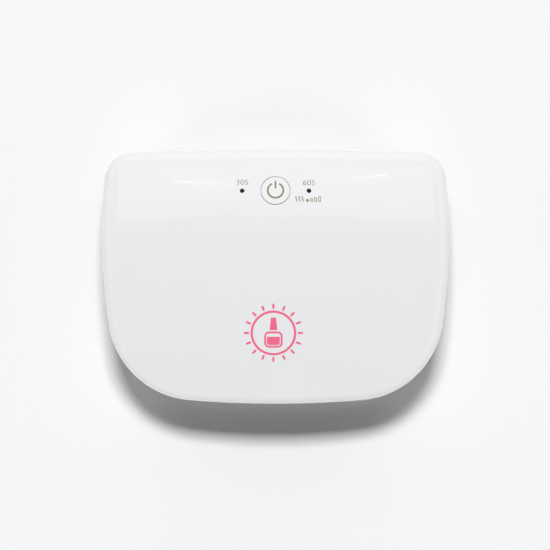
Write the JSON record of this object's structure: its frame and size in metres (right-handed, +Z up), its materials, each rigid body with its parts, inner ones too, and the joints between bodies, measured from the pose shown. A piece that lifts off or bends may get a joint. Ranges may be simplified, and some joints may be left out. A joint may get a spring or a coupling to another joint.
{
  "type": "uv led nail lamp",
  "caption": "Domed tabletop lamp that cures gel nails with LEDs round a mirrored hand tunnel, with one power button and a lift-off magnetic base tray.",
  "frame": {"origin": "on the table under the middle of the casing's plan, at the level of the feet's undersides", "axes": "+X to the lamp's right, across its width; +Y to its back, where the power inlet is; +Z up. The hand goes in at the front, along +Y."},
  "size_m": [0.2, 0.146, 0.076],
  "materials": {
    "white_abs": "glossy moulded",
    "mirror_coat": "metallised mirror coat on moulded plastic",
    "foot_rubber": "matt",
    "plated_steel": "nickel plated",
    "led_board": "white solder mask",
    "control_board": "green solder mask",
    "emitter": "white package with a phosphor well",
    "lens": "clear silicone",
    "smoked_lens": "smoked",
    "black_plastic": "fine moulded",
    "plunger_plastic": "fine moulded",
    "indicator_led": "clear epoxy",
    "can": "bare can",
    "plug_plastic": "ivory nylon",
    "red_insulation": "satin",
    "black_insulation": "satin",
    "pin_metal": "nickel plated"
  },
  "bodies": {
    "base": {"base_tray": "white_abs", "rubber_feet": "foot_rubber", "strike_plates": "plated_steel"},
    "lamp": {"top_shell": "white_abs", "inner_reflector": "mirror_coat", "casing_screws": "plated_steel", "led_board_screws": "plated_steel", "control_board_screws": "plated_steel", "magnets": "plated_steel", "snap_dome": "plated_steel", "led_board_top": "led_board", "led_board_left": "led_board", "led_board_right": "led_board", "led_board_rear": "led_board", "control_board": "control_board", "inlet_board": "control_board", "led_emitters_top": "emitter", "led_emitters_left": "emitter", "led_emitters_right": "emitter", "led_emitters_rear": "emitter", "led_lenses_top": "lens", "led_lenses_left": "lens", "led_lenses_right": "lens", "led_lenses_rear": "lens", "indicator_pipe_left": "smoked_lens", "indicator_pipe_right": "smoked_lens", "timer_chip": "black_plastic", "led_drivers": "black_plastic", "chip_resistors": "black_plastic", "switch_body": "black_plastic", "inlet_housing": "black_plastic", "indicator_leds": "indicator_led", "capacitors": "can", "lead_plugs": "plug_plastic", "leads_red": "red_insulation", "leads_black": "black_insulation", "inlet_pin": "pin_metal"},
    "button": {"power_button": "white_abs"},
    "plunger": {"switch_plunger": "plunger_plastic"}
  },
  "joints": [
    {"name": "lamp_lift", "type": "slide", "parent": "base", "child": "lamp", "axis": [0, 0, 1], "range_m": [0, 0.06]},
    {"name": "button_press", "type": "slide", "parent": "lamp", "child": "button", "axis": [0, -0.2916, -0.9565], "range_m": [0, 0.0005], "stiffness_N_per_m": 2000},
    {"name": "plunger_press", "type": "slide", "parent": "lamp", "child": "plunger", "axis": [0, -0.2916, -0.9565], "range_m": [0, 0.0005], "deforming": ["snap_dome"]}
  ],
  "couplings": [
    {"joint": "plunger_press", "follows": "button_press", "ratio": 1}
  ]
}
